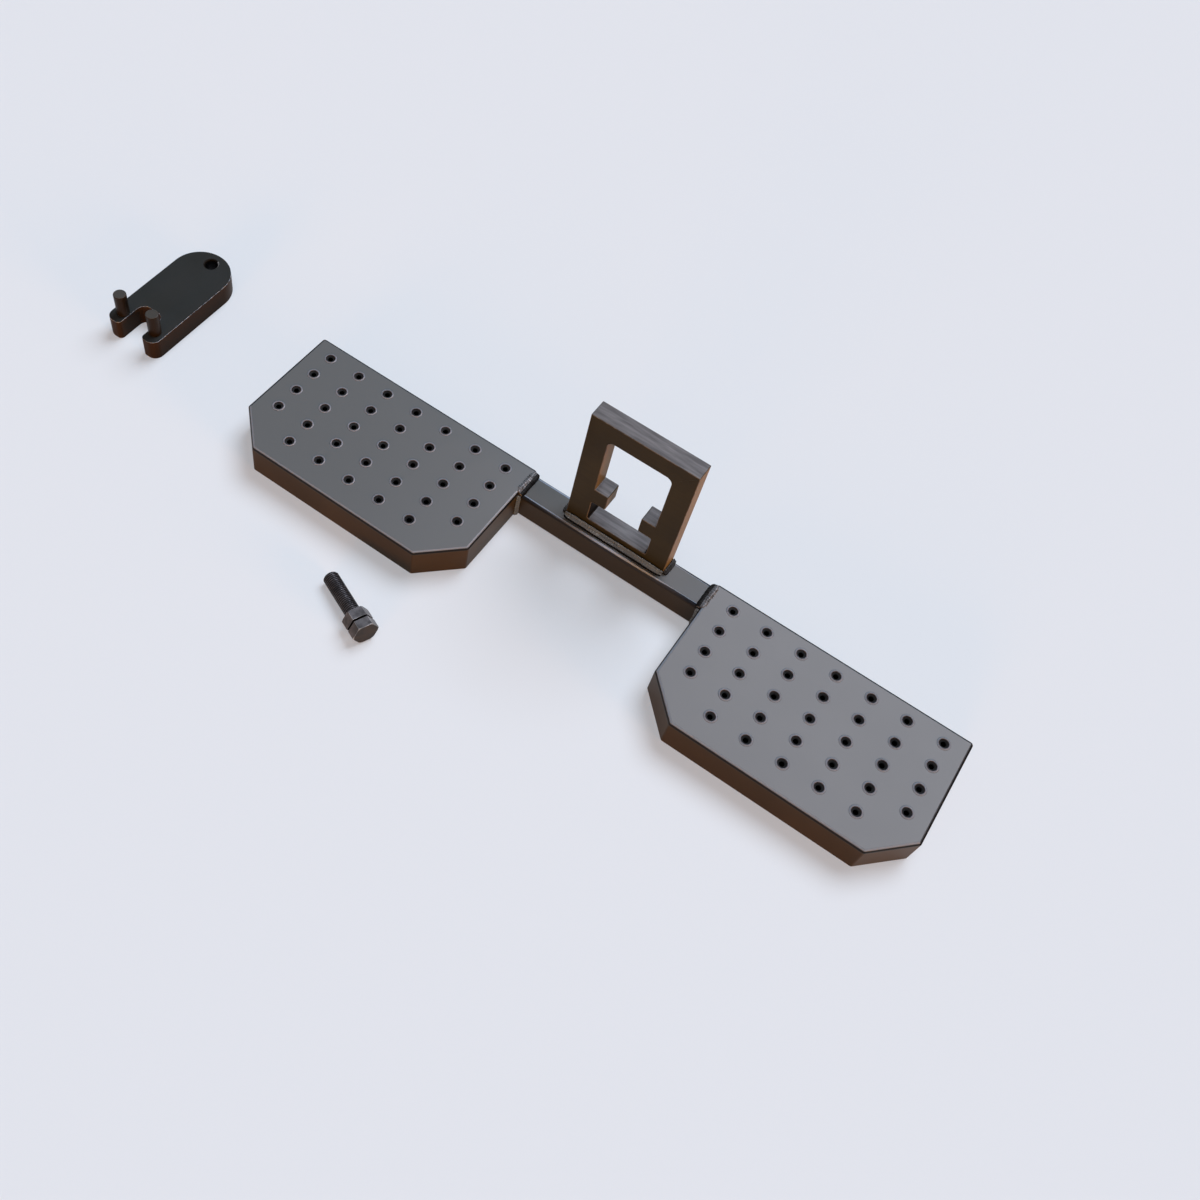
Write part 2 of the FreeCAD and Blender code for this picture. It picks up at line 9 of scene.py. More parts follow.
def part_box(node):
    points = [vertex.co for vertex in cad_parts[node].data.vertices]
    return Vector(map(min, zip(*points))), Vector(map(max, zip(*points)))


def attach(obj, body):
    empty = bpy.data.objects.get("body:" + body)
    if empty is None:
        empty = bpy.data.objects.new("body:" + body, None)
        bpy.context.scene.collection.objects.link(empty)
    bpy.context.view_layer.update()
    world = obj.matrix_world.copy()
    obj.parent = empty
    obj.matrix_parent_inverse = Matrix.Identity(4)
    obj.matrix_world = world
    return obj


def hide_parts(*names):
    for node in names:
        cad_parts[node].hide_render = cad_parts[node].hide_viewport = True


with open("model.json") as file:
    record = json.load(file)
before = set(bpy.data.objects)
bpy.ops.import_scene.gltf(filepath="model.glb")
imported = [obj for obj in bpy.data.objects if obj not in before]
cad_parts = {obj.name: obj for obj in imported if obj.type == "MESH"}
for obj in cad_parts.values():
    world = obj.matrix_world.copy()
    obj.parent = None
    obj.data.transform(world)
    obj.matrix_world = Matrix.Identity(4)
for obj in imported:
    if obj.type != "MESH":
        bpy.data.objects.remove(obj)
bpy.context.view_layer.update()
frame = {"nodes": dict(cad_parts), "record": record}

nodes = frame["nodes"]
mm = 0.001
stepBody = "step"


# sRGB hex to linear RGBA
def linear(hexColour):
    channels = [int(hexColour[place:place + 2], 16) / 255 for place in (1, 3, 5)]
    return [c / 12.92 if c <= 0.04045 else ((c + 0.055) / 1.055) ** 2.4 for c in channels] + [1]


# one shader node, with its settings by name and its links by socket
def addNode(tree, kind, settings=None, links=None):
    node = tree.nodes.new("ShaderNode" + kind)
    for name, value in (settings or {}).items():
        if name in node.inputs:
            node.inputs[name].default_value = value
        else:
            setattr(node, name, value)
    for name, source in (links or {}).items():
        tree.links.new(source, node.inputs[name])
    return node


# an empty material and its surface output
def startMaterial(name):
    material = bpy.data.materials.new(name)
    material.use_nodes = True
    tree = material.node_tree
    tree.nodes.clear()
    output = addNode(tree, "OutputMaterial")
    return material, tree, output


print("materials")

# Satin powder coat on steel: low-gloss, nearly black, with a faint orange peel that softens the
# reflection of the sky into grey. Powder settles in patches, which shows as broad, faint clouds.
powderCoat = {
    "roughness": 0.33,
    "roughnessSpread": 0.04,
    "specularTint": "#fff0e4",
    "cloudWidth": 70 * mm,
    "cloudRange": (0.35, 0.65),
    "grainWidth": 1.6 * mm,
    "grainStretch": 0.04,
    "scuffWidth": 5 * mm,
    "scuffStretch": 0.12,
    "scuffShift": 31 * mm,
    "scuffRange": (0.4, 0.75),
    "peelWidth": 2.4 * mm,   # real peel is about 1 mm, drawn coarser so that it shows
    "peelDepth": 0.03 * mm,
    "peelStrength": 0.35,
}

# How far a face looks up where each tone sets in, from 0 for a wall to 1 for a flat top. A bend's
# tone sets in between its first two values and fades between its last two.
facingUp = {
    "walls": (0.6, 0.2),
    "tops": (0.8, 0.97),
    "lowerBend": (0.1, 0.3, 0.7, 0.8),          # painted shade, a painted reflection of the dark
    "upperBend": (0.75, 0.84, 0.975, 0.995),    # painted highlight, a painted reflection of the sky
}


# the settings of a range that runs from one value to another
def span(ends):
    return {"From Min": ends[0], "From Max": ends[1]}


# two colours mixed by a factor from another socket
def mixColours(tree, factor, first, second):
    mix = addNode(tree, "Mix", {"data_type": "RGBA"}, {"Factor": factor})
    for place, colour in ((6, first), (7, second)):
        if isinstance(colour, str):
            mix.inputs[place].default_value = linear(colour)
        else:
            tree.links.new(colour, mix.inputs[place])
    return mix.outputs[2]


# Powder coat in two tones, with an optional grain that runs along X. Upright walls, tops and the
# bends between may each have a painted tone of their own, which stands in for light and shade,
# and tops may be scuffed along the grain.
def makeCoat(name, dark, light, grain=0, roughness=powderCoat["roughness"], specular=0.25,
             cloudWidth=powderCoat["cloudWidth"], walls=None, tops=None, bends=(), scuffs=None):
    material, tree, output = startMaterial(name)
    coordinates = addNode(tree, "TexCoord")
    place = coordinates.outputs["Object"]
    clouds = addNode(tree, "TexNoise", {"Scale": 1 / cloudWidth, "Detail": 4.0},
                     {"Vector": place})
    tone = clouds.outputs["Fac"]
    if grain:
        stretched = addNode(tree, "Mapping", {"Scale": (powderCoat["grainStretch"], 1, 1)},
                            {"Vector": place})
        streaks = addNode(tree, "TexNoise",
                          {"Scale": 1 / powderCoat["grainWidth"], "Detail": 3.0},
                          {"Vector": stretched.outputs["Vector"]})
        tone = addNode(tree, "Mix", {"data_type": "FLOAT", "Factor": grain},
                       {"A": tone, "B": streaks.outputs["Fac"]}).outputs["Result"]
    spread = addNode(tree, "MapRange", span(powderCoat["cloudRange"]), {"Value": tone})
    colour = mixColours(tree, spread.outputs["Result"], dark, light)
    facing = addNode(tree, "SeparateXYZ", None, {"Vector": coordinates.outputs["Normal"]})
    lookingUp = facing.outputs["Z"]
    for zone, zoneColour in (("walls", walls), ("tops", tops)):
        if zoneColour:
            inZone = addNode(tree, "MapRange", span(facingUp[zone]), {"Value": lookingUp})
            colour = mixColours(tree, inZone.outputs["Result"], colour, zoneColour)
    for zone, zoneColour in zip(("lowerBend", "upperBend"), bends):
        bottom, foot, head, top = facingUp[zone]
        rising = addNode(tree, "MapRange", span((bottom, foot)), {"Value": lookingUp})
        falling = addNode(tree, "MapRange", span((top, head)), {"Value": lookingUp})
        inZone = addNode(tree, "Math", {"operation": "MULTIPLY"},
                         {0: rising.outputs["Result"], 1: falling.outputs["Result"]})
        colour = mixColours(tree, inZone.outputs[0], colour, zoneColour)
    if scuffs:
        onTop = addNode(tree, "MapRange", span(facingUp["tops"]), {"Value": lookingUp})
        drawn = addNode(tree, "Mapping", {"Scale": (powderCoat["scuffStretch"], 1, 1),
                                          "Location": (powderCoat["scuffShift"], 0, 0)},
                        {"Vector": place})
        rubbed = addNode(tree, "TexNoise", {"Scale": 1 / powderCoat["scuffWidth"], "Detail": 6.0},
                         {"Vector": drawn.outputs["Vector"]})
        patches = addNode(tree, "MapRange", span(powderCoat["scuffRange"]),
                          {"Value": rubbed.outputs["Fac"]})
        worn = addNode(tree, "Math", {"operation": "MULTIPLY"},
                       {0: onTop.outputs["Result"], 1: patches.outputs["Result"]})
        colour = mixColours(tree, worn.outputs[0], colour, scuffs)
    gloss = addNode(tree, "MapRange", {"To Min": roughness + powderCoat["roughnessSpread"],
                                       "To Max": roughness - powderCoat["roughnessSpread"]},
                    {"Value": tone})
    peel = addNode(tree, "TexNoise", {"Scale": 1 / powderCoat["peelWidth"], "Detail": 2.0},
                   {"Vector": place})
    bump = addNode(tree, "Bump", {"Strength": powderCoat["peelStrength"],
                                  "Distance": powderCoat["peelDepth"]},
                   {"Height": peel.outputs["Fac"]})
    shader = addNode(tree, "BsdfPrincipled",
                     {"IOR": 1.5, "Specular IOR Level": specular,
                      "Specular Tint": linear(powderCoat["specularTint"])},
                     {"Base Color": colour, "Roughness": gloss.outputs["Result"],
                      "Normal": bump.outputs["Normal"]})
    tree.links.new(shader.outputs["BSDF"], output.inputs["Surface"])
    return material


# folded sheet: tops painted grey as a painted reflection of the sky, bends painted black low down
# as painted shade and light high up as a painted highlight, walls painted brown as painted warm
# light, and rear bends painted dark as painted shade
treadCoat = makeCoat("satinPowderCoatTread", "#343330", "#3e3d39", specular=0.24,
                     walls="#302919", tops="#575a58", bends=("#0a0a0a", "#73787c"))
# pad walls: painted brown as painted warm light, with little shine
paintedWarmWallCoat = makeCoat("satinPowderCoatPaintedWarmWall", "#322917", "#382e1a", roughness=0.4, specular=0.1)
# rear and outer pad bends: painted black as painted shade, without shine
paintedShadeRimCoat = makeCoat("paintedShadeBend", "#0b0a09", "#13110f", roughness=0.6, specular=0, tops="#3a3c3d")
# lips round the holes: painted lighter as a painted highlight
paintedHighlightLip = makeCoat("paintedHighlightLip", "#5a5b5e", "#6f6f73", roughness=0.35)
# inside the holes the dish is painted black as painted shade, with hardly any shine
paintedShadeHoleCoat = makeCoat("paintedShadeInHoles", "#151515", "#282827", roughness=0.7, specular=0.1)

# thick rolled plate: brown-black with streaks along its length, its top painted lighter as a
# painted reflection of the sky, and scuffed on its top
plateCoat = makeCoat("satinPowderCoatPlate", "#222114", "#2f2e1b", grain=0.3, specular=0.12,
                     tops="#484746", scuffs="#72716f")
# frame sides: painted tan as painted warm light
paintedWarmSideCoat = makeCoat("paintedWarmLightSide", "#675532", "#705d38", grain=0.3, roughness=0.4, specular=0.05)
# painted shade: black where little light reaches
paintedShadeCoat = makeCoat("paintedShadeInRecesses", "#0e0c09", "#16130e", roughness=0.5, specular=0.05)
frameEdge = makeCoat("plateEdge", "#35322c", "#5c5850", roughness=0.3, cloudWidth=7 * mm)
# drawn tube: its top painted lighter as a painted reflection of the sky, a painted highlight
# along its upper bends, painted shade low on them, and walls painted browner as painted warm
# light
tubeCoat = makeCoat("satinPowderCoatTube", "#2c2b28", "#373530", grain=0.25, specular=0.15,
                    walls="#2b281d", tops="#4b4d4a", bends=("#262b31", "#8c98a3"))

# welded beads: the coat is glossier on their ripples, and a crease is painted black as painted
# shade
weldCoat = makeCoat("coatedWeldBead", "#141718", "#515a5c", grain=0.8, roughness=0.24,
                    specular=1, cloudWidth=14 * mm)
padBead = makeCoat("coatedPadBead", "#2a2a2a", "#626465", roughness=0.28, specular=0.4,
                   cloudWidth=5 * mm)
# beads at the ends of the frame's foot: painted near-black as painted shade
paintedShadeEndBead = makeCoat("paintedShadeEndBeadCoat", "#070707", "#161616", roughness=0.22, specular=0.35,
                    cloudWidth=6 * mm)
# creases in the beads: painted black as painted shade
creaseShadeCoat = makeCoat("creaseShadeCoat", "#030303", "#0b0b0a", roughness=0.5, specular=0.1)

# brushed satin paint: flatter than the powder coat, its walls painted brown as painted warm
# light, and lighter on its bevelled corners
lockCoat = makeCoat("satinPaintLockPlate", "#262825", "#2b2d2b", roughness=0.4, specular=0.05,
                    walls="#2f241a")
lighterBevelCoat = makeCoat("lighterBevelCoat", "#4a4f54", "#aab2b9", roughness=0.35, cloudWidth=6 * mm,
                        specular=0.15)
# pins: tops painted lighter as a painted reflection of the sky, walls painted browner as painted
# warm light
pinCoat = makeCoat("darkRoundBar", "#1d1a16", "#2a241d", specular=0.12, walls="#1d1812",
                   tops="#3d3c37")

# Black oxide on turned and forged steel: dark, metallic, with a soft oily sheen.
blackOxide = {
    "roughness": 0.34,
    "specular": 0.2,
    "patchWidth": 9 * mm,
    "patchRange": (0.35, 0.65),
}


def makeBlackOxide(name, dark, light, metallic):
    material, tree, output = startMaterial(name)
    place = addNode(tree, "TexCoord").outputs["Object"]
    patches = addNode(tree, "TexNoise", {"Scale": 1 / blackOxide["patchWidth"], "Detail": 5.0},
                      {"Vector": place})
    spread = addNode(tree, "MapRange", span(blackOxide["patchRange"]),
                     {"Value": patches.outputs["Fac"]})
    colour = mixColours(tree, spread.outputs["Result"], dark, light)
    shader = addNode(tree, "BsdfPrincipled",
                     {"Metallic": metallic, "Roughness": blackOxide["roughness"],
                      "Specular IOR Level": blackOxide["specular"]},
                     {"Base Color": colour})
    tree.links.new(shader.outputs["BSDF"], output.inputs["Surface"])
    return material


endOxide = makeBlackOxide("blackOxideEndFace", "#1c170d", "#2c2415", 0.1)
boltOxide = makeBlackOxide("blackOxideSteel", "#403e3d", "#636060", 0.5)
threadOxide = makeBlackOxide("blackOxideThread", "#100e0e", "#1c1818", 0.4)
boreSteel = makeBlackOxide("threadedBore", "#1c1c1e", "#3c3c3f", 0.9)
# where the oxide is rubbed through on the thread's crests, the bare steel is lighter; the light
# steel after it is a painted highlight on hex chamfers and bevels and in the threaded mouth
threadCrest = makeBlackOxide("rubbedThreadCrest", "#353132", "#625d5c", 0.7)
paintedHighlightSteel = makeBlackOxide("paintedHighlightSteel", "#6c6a68", "#b3b0ad", 0.8)

print("solids from the frame")

solidFinish = {
    "joinDistance": 0.002 * mm,
    "flatAngle": math.radians(0.4),
    "bevelSegments": 3,
    "sharpAngle": 40,
    "plateSharpAngle": 55,   # leaves the sunk mouth of the threaded hole as it is
}
sharpAngle = solidFinish["sharpAngle"]

# each solid's coat, with the width, the coat and the least angle of the bevel on its sharp edges
edgeBevels = {
    "left_pad": (treadCoat, 0.4 * mm, treadCoat, sharpAngle),
    "right_pad": (treadCoat, 0.4 * mm, treadCoat, sharpAngle),
    "crossbar_tube": (tubeCoat, 0, None, sharpAngle),
    "receiver_frame": (plateCoat, 0.8 * mm, frameEdge, sharpAngle),
    "lock_plate": (lockCoat, 1.8 * mm, lighterBevelCoat, solidFinish["plateSharpAngle"]),
    "lock_pin_left": (pinCoat, 1.1 * mm, pinCoat, sharpAngle),
    "lock_pin_right": (pinCoat, 1.1 * mm, pinCoat, sharpAngle),
    "jam_nut": (boltOxide, 0.9 * mm, paintedHighlightSteel, sharpAngle),
}


# welds the loose triangles, dissolves flat seams and rounds the sharp edges
def finishSolid(piece, bevelWidth, bevelAngle):
    weld = piece.modifiers.new("Join", "WELD")
    weld.merge_threshold = solidFinish["joinDistance"]
    flatten = piece.modifiers.new("Flatten", "DECIMATE")
    flatten.decimate_type = "DISSOLVE"
    flatten.angle_limit = solidFinish["flatAngle"]
    if bevelWidth:
        bevel = piece.modifiers.new("Edges", "BEVEL")
        bevel.width = bevelWidth
        bevel.segments = solidFinish["bevelSegments"]
        bevel.limit_method = "ANGLE"
        bevel.angle_limit = math.radians(bevelAngle)
        bevel.material = min(1, len(piece.data.materials) - 1)   # the edge coat, if there is one
    for face in piece.data.polygons:
        face.use_smooth = True
    normals = piece.modifiers.new("Normals", "WEIGHTED_NORMAL")
    normals.keep_sharp = False


# a piece's one coat, in its first slot
def dress(piece, coat):
    piece.data.materials.clear()
    piece.data.materials.append(coat)


# one more coat on a piece, and the slot it lands in
def addSlot(piece, coat):
    piece.data.materials.append(coat)
    return len(piece.data.materials) - 1


for nodeName, (coat, bevelWidth, edgeCoat, bevelAngle) in edgeBevels.items():
    solid = nodes[nodeName]
    dress(solid, coat)
    if edgeCoat and edgeCoat != coat:
        addSlot(solid, edgeCoat)
    finishSolid(solid, bevelWidth, bevelAngle)

# the rear and outer bends are painted black as painted shade, and the walls painted brown as
# painted warm light
padFaces = {"rimWidth": 4.5 * mm, "rimLevel": 0.985, "wallLevel": 0.05}
for side in ("left", "right"):
    pad = nodes[side + "_pad"]
    low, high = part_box(side + "_pad")
    outerEnd = low.x if side == "left" else high.x
    paintedShadeRimSlot = addSlot(pad, paintedShadeRimCoat)
    paintedWarmWallSlot = addSlot(pad, paintedWarmWallCoat)
    for face in pad.data.polygons:
        atRear = high.y - face.center.y < padFaces["rimWidth"]
        atOuterEnd = abs(outerEnd - face.center.x) < padFaces["rimWidth"]
        if abs(face.normal.z) < padFaces["wallLevel"]:
            face.material_index = paintedWarmWallSlot
        elif 0 < face.normal.z < padFaces["rimLevel"] and (atRear or atOuterEnd):
            face.material_index = paintedShadeRimSlot

# the frame's sides are painted tan as painted warm light, and the ends of the slot under the tabs
# are painted black as painted shade
frameFaces = {
    "slotHalfWidth": 45 * mm,
    "slotCeiling": 48.5 * mm,    # over the frame's foot
    "slotEndLevel": 0.3,         # how far a face looks sideways
    "sideLevel": 0.9,
}
receiverFrame = nodes["receiver_frame"]
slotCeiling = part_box("receiver_frame")[0].z + frameFaces["slotCeiling"]
slotEndShadeSlot = addSlot(receiverFrame, paintedShadeCoat)
paintedWarmSideSlot = addSlot(receiverFrame, paintedWarmSideCoat)
for face in receiverFrame.data.polygons:
    sideways = abs(face.normal.x)
    if abs(face.center.x) < frameFaces["slotHalfWidth"] and face.center.z < slotCeiling:
        if sideways > frameFaces["slotEndLevel"]:
            face.material_index = slotEndShadeSlot
    elif sideways > frameFaces["sideLevel"]:
        face.material_index = paintedWarmSideSlot


# a finished bmesh as an object, with its coats in order from slot 0
def placeMesh(name, mesh, coats):
    data = bpy.data.meshes.new(name)
    mesh.to_mesh(data)
    mesh.free()
    placed = bpy.data.objects.new(name, data)
    bpy.context.scene.collection.objects.link(placed)
    for coat in coats:
        data.materials.append(coat)
    return placed


# a finished bmesh as a smooth piece that moves with a body
def addPiece(name, mesh, coats, body=stepBody):
    bmesh.ops.recalc_face_normals(mesh, faces=mesh.faces)
    piece = placeMesh(name, mesh, coats)
    for face in piece.data.polygons:
        face.use_smooth = True
    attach(piece, body)
    return piece


print("tread dishes")

treadDishes = {
    "paintedShadeRadius": 5.6 * mm,    # inside it the dish is painted black as painted shade
    "lipRadii": (5.9 * mm, 7.2 * mm),   # between them the lip is painted lighter as a painted highlight
    "columns": 7,
    "rows": 5,
    "pitchAlong": 44.8 * mm,
    "pitchAcross": 33 * mm,
    "outerMargin": 28.4 * mm,
    "rearMargin": 22.5 * mm,
    "segments": 32,
    "coats": (treadCoat, paintedShadeHoleCoat, paintedHighlightLip),
    # radius and height over the tread in mm, from the foot of the lip down through the sheet
    "profile": [(8.2, -0.03), (7.5, 0.1), (7.0, 0.42), (6.6, 0.6), (6.2, 0.55), (5.85, 0.2),
                (5.55, -0.28), (4.9, -0.65), (3.9, -1.18), (3.35, -1.5), (3.12, -1.9),
                (3.12, -3.15), (3.7, -3.2), (4.6, -2.7), (7.9, -0.9)],
}


# one smooth dished and lipped hole, centred on the Z axis at height 0
def spinDish(mesh):
    loop = [mesh.verts.new((radius * mm, 0, height * mm))
            for radius, height in treadDishes["profile"]]
    edges = [mesh.edges.new((loop[place - 1], loop[place])) for place in range(len(loop))]
    bmesh.ops.spin(mesh, geom=loop + edges, cent=(0, 0, 0), axis=(0, 0, 1), angle=2 * math.pi,
                   steps=treadDishes["segments"], use_merge=True)
    lipInner, lipOuter = treadDishes["lipRadii"]
    holeShadeSlot, lipHighlightSlot = 1, 2
    for face in mesh.faces:
        middle = face.calc_center_median()
        if middle.xy.length < treadDishes["paintedShadeRadius"]:
            face.material_index = holeShadeSlot
        elif lipInner < middle.xy.length < lipOuter and middle.z > 0:
            face.material_index = lipHighlightSlot


# one pad's dishes in rows and columns from its outer rear corner
def addDishes(nodeName, name, outward):
    low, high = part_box(nodeName)
    outer = low.x if outward < 0 else high.x
    mesh = bmesh.new()
    spinDish(mesh)
    first = mesh.verts[:] + mesh.edges[:] + mesh.faces[:]
    lastColumn = treadDishes["columns"] - 1
    for column in range(treadDishes["columns"]):
        rows = treadDishes["rows"]
        if column in (0, lastColumn):
            rows -= 1   # the cut corners have no hole
        for row in range(rows):
            inset = treadDishes["outerMargin"] + column * treadDishes["pitchAlong"]
            back = treadDishes["rearMargin"] + row * treadDishes["pitchAcross"]
            copy = bmesh.ops.duplicate(mesh, geom=first)["geom"]
            moved = [item for item in copy if isinstance(item, bmesh.types.BMVert)]
            bmesh.ops.translate(mesh, verts=moved,
                                vec=(outer - outward * inset, high.y - back, high.z))
    pattern = [item for item in first if isinstance(item, bmesh.types.BMVert)]
    bmesh.ops.delete(mesh, geom=pattern, context="VERTS")
    addPiece(name, mesh, treadDishes["coats"])


addDishes("left_pad", "left_tread_dishes", -1)
addDishes("right_pad", "right_tread_dishes", 1)

print("weld beads")

weldBeads = {
    "around": 14,
    "stationGap": 0.8 * mm,
    "fullness": 0.93,        # share of the leg that the bead's skin reaches
    "ripplePitch": 3.4 * mm,
    "rippleDepth": 0.05,
    "rippleCrest": 0.7,      # below 1 the ripples have broad crests
    "crescent": 1.6 * mm,    # how far the middle of a ripple runs ahead
    "lumpWidth": 9 * mm,
    "lumpsAround": 2.2,
    "lumpDepth": 0.16,
    "lumpAtEdge": 0.35,      # share of the depth that is left at the two toes
    "fineLumpScale": 2.3,
    "fineLumpDepth": 0.5,
    "ridgeDepth": 0.06,      # two passes lie side by side
    "endSlope": 1.4,
    "joinDistance": 0.001 * mm,
    "filletSag": 0.2,
    "crownSag": 0.3,
    "frontLeg": 8 * mm,
    "rearLeg": 3.6 * mm,
    "sideLeg": 6.5 * mm,
    "topLeg": 8 * mm,
    "endLeg": 5.5 * mm,
    "cornerTurn": 90,        # degrees, between two walls that meet square
    "flatTurn": 180,         # on a flat wall
    "topTurn": 140,          # over the bend of a pad
}


# A bead from start along run, a fan about the seam that turns from begin by a number of degrees.
# The creased share of the fan, from the first to the last value, is painted black as painted
# shade.
def addBead(name, nodeName, start, run, begin, turn, leg, sag, endRound=0.8, coat=weldCoat,
            crease=None):
    length = run.length
    along = run.normalized()
    toward = begin.normalized()
    across = toward.cross(along) * -1
    around = weldBeads["around"]
    stations = round(length / weldBeads["stationGap"])
    mesh = bmesh.new()
    bmesh.ops.create_cone(mesh, cap_ends=True, segments=around, radius1=1, radius2=1,
                          depth=length)
    sides = [edge for edge in mesh.edges
             if abs(edge.verts[0].co.z - edge.verts[1].co.z) > length / 2]
    bmesh.ops.subdivide_edges(mesh, edges=sides, cuts=stations - 1)
    seed = sum(ord(letter) for letter in name)
    creaseShadeSlot = 1
    fans = {}   # how far round each vertex lies, from 0 at one toe to 1 at the other
    for vert in mesh.verts:
        share = (math.atan2(vert.co.y, vert.co.x) / (2 * math.pi)) % 1
        step = round(share * around) % around
        travelled = vert.co.z + length / 2
        if step == around - 1:   # the last step lies on the seam
            vert.co = start + along * travelled
            continue
        fan = step / (around - 2)
        fans[vert] = fan
        angle = math.radians(turn) * fan
        bulge = math.sin(math.pi * fan)
        wave = travelled - weldBeads["crescent"] * bulge
        swell = abs(math.sin(math.pi * wave / weldBeads["ripplePitch"]))
        ripple = swell ** weldBeads["rippleCrest"]
        spot = Vector((travelled / weldBeads["lumpWidth"], fan * weldBeads["lumpsAround"], seed))
        fineLump = noise.noise(spot * weldBeads["fineLumpScale"])
        lump = noise.noise(spot) + weldBeads["fineLumpDepth"] * fineLump
        lumpShare = weldBeads["lumpAtEdge"] + (1 - weldBeads["lumpAtEdge"]) * bulge
        fromEnd = min(travelled, length - travelled) / leg
        taper = min(1, endRound + (1 - endRound) * fromEnd * weldBeads["endSlope"])
        ridges = -weldBeads["ridgeDepth"] * math.cos(4 * math.pi * fan)
        reach = leg * taper * (weldBeads["fullness"] - sag * bulge + ridges
                               + weldBeads["rippleDepth"] * (ripple - 0.5) * 2
                               + weldBeads["lumpDepth"] * lump * lumpShare)
        vert.co = (start + along * travelled + toward * reach * math.cos(angle)
                   + across * reach * math.sin(angle))
    for face in mesh.faces:
        shares = [fans[vert] for vert in face.verts if vert in fans]
        onSkin = crease and len(face.verts) == 4
        if onSkin and crease[0] <= sum(shares) / len(shares) <= crease[1]:
            face.material_index = creaseShadeSlot
    bmesh.ops.remove_doubles(mesh, verts=mesh.verts, dist=weldBeads["joinDistance"])
    piece = addPiece(name, mesh, (coat, creaseShadeCoat))
    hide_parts(nodeName)


frameLow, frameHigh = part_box("receiver_frame")
tubeLow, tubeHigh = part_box("crossbar_tube")
toRight = Vector((1, 0, 0))
toBack = Vector((0, 1, 0))
upward = Vector((0, 0, 1))
foot = frameLow.z
acrossFrame = toRight * (frameHigh.x - frameLow.x)
throughFrame = toBack * (frameHigh.y - frameLow.y)
tubeSize = tubeHigh.z - tubeLow.z
filletSag, crownSag = weldBeads["filletSag"], weldBeads["crownSag"]
cornerTurn, flatTurn = weldBeads["cornerTurn"], weldBeads["flatTurn"]

# the beads round the frame's foot
addBead("front_foot_bead", "frame_front_weld", Vector((frameLow.x, frameLow.y, foot)),
        acrossFrame, upward, cornerTurn, weldBeads["frontLeg"], filletSag, endRound=0.7,
        crease=(0.74, 1))
addBead("rear_foot_bead", "frame_rear_weld", Vector((frameHigh.x, frameHigh.y, foot)),
        -acrossFrame, upward, flatTurn, weldBeads["rearLeg"], crownSag, endRound=0.4)
# the side beads are painted near-black as painted shade
addBead("left_foot_bead", "frame_left_weld", Vector((frameLow.x, frameHigh.y, foot)),
        -throughFrame, upward, cornerTurn, weldBeads["sideLeg"], filletSag, coat=paintedShadeEndBead)
addBead("right_foot_bead", "frame_right_weld", Vector((frameHigh.x, frameLow.y, foot)),
        throughFrame, upward, cornerTurn, weldBeads["sideLeg"], filletSag, coat=paintedShadeEndBead)

# the beads round each end of the crossbar, on the inner wall of its pad
for side, inner, outward in (("left", tubeLow.x, 1), ("right", tubeHigh.x, -1)):
    away = toRight * outward
    rearTop = Vector((inner, tubeHigh.y, tubeHigh.z))
    frontTop = Vector((inner, tubeLow.y, tubeHigh.z))
    rearBottom = Vector((inner, tubeHigh.y, tubeLow.z))
    frontBottom = Vector((inner, tubeLow.y, tubeLow.z))
    across = -toBack * outward
    topStart = rearTop if outward > 0 else frontTop
    addBead(side + "_top_bead", side + "_top_weld", topStart, across * tubeSize, away,
            weldBeads["topTurn"], weldBeads["topLeg"], crownSag, coat=padBead, crease=(0.1, 0.5))
    frontStart, frontRun = (frontTop, -upward) if outward > 0 else (frontBottom, upward)
    addBead(side + "_front_bead", side + "_front_weld", frontStart, frontRun * tubeSize, away,
            cornerTurn, weldBeads["endLeg"], filletSag)
    rearStart, rearRun = (rearBottom, upward) if outward > 0 else (rearTop, -upward)
    addBead(side + "_rear_bead", side + "_rear_weld", rearStart, rearRun * tubeSize, away,
            flatTurn, weldBeads["endLeg"], crownSag)

print("threads")

boltThread = {
    "pitch": 2.54 * mm,
    "crestRadius": 9.5 * mm,
    "rootRadius": 8.05 * mm,
    "stepsPerTurn": 28,
    "headHeight": 12 * mm,
    "tipChamfer": 2 * mm,
    "headBevel": 0.9 * mm,
    "headTrim": 0.05 * mm,
    "threadOverlap": 0.4 * mm,
    "rootShare": 0.12,       # of the pitch, as the next two
    "crestStart": 0.5,
    "crestShare": 0.2,
    "crestTolerance": 0.1 * mm,
    "slantedFace": 0.3,      # how far a face looks along the bolt
    "squareFace": 0.95,
}


# a helical strip: the thread's outline for one pitch, swept round and up the X axis
def sweepThread(mesh, outline, pitch, turns, stepsPerTurn):
    line = [mesh.verts.new((along, radius, 0)) for along, radius in outline]
    edges = [mesh.edges.new(pair) for pair in zip(line, line[1:])]
    steps = turns * stepsPerTurn
    bmesh.ops.spin(mesh, geom=line + edges, cent=(0, 0, 0), axis=(1, 0, 0),
                   dvec=(pitch / stepsPerTurn, 0, 0), angle=2 * math.pi * turns, steps=steps)
    bmesh.ops.remove_doubles(mesh, verts=mesh.verts, dist=solidFinish["joinDistance"])


# cuts a mesh square to the X axis, drops what lies beyond on that side and closes the cut
def trimAt(mesh, along, keepBelow):
    cut = bmesh.ops.bisect_plane(mesh, geom=mesh.verts[:] + mesh.edges[:] + mesh.faces[:],
                                 plane_co=(along, 0, 0), plane_no=(1, 0, 0),
                                 clear_outer=keepBelow, clear_inner=not keepBelow)
    rim = [item for item in cut["geom_cut"] if isinstance(item, bmesh.types.BMEdge)]
    bmesh.ops.holes_fill(mesh, edges=rim)


# a mount of the part's record by its name
def mountNamed(name):
    return next(mount for mount in frame["record"]["mounts"] if mount["name"] == name)


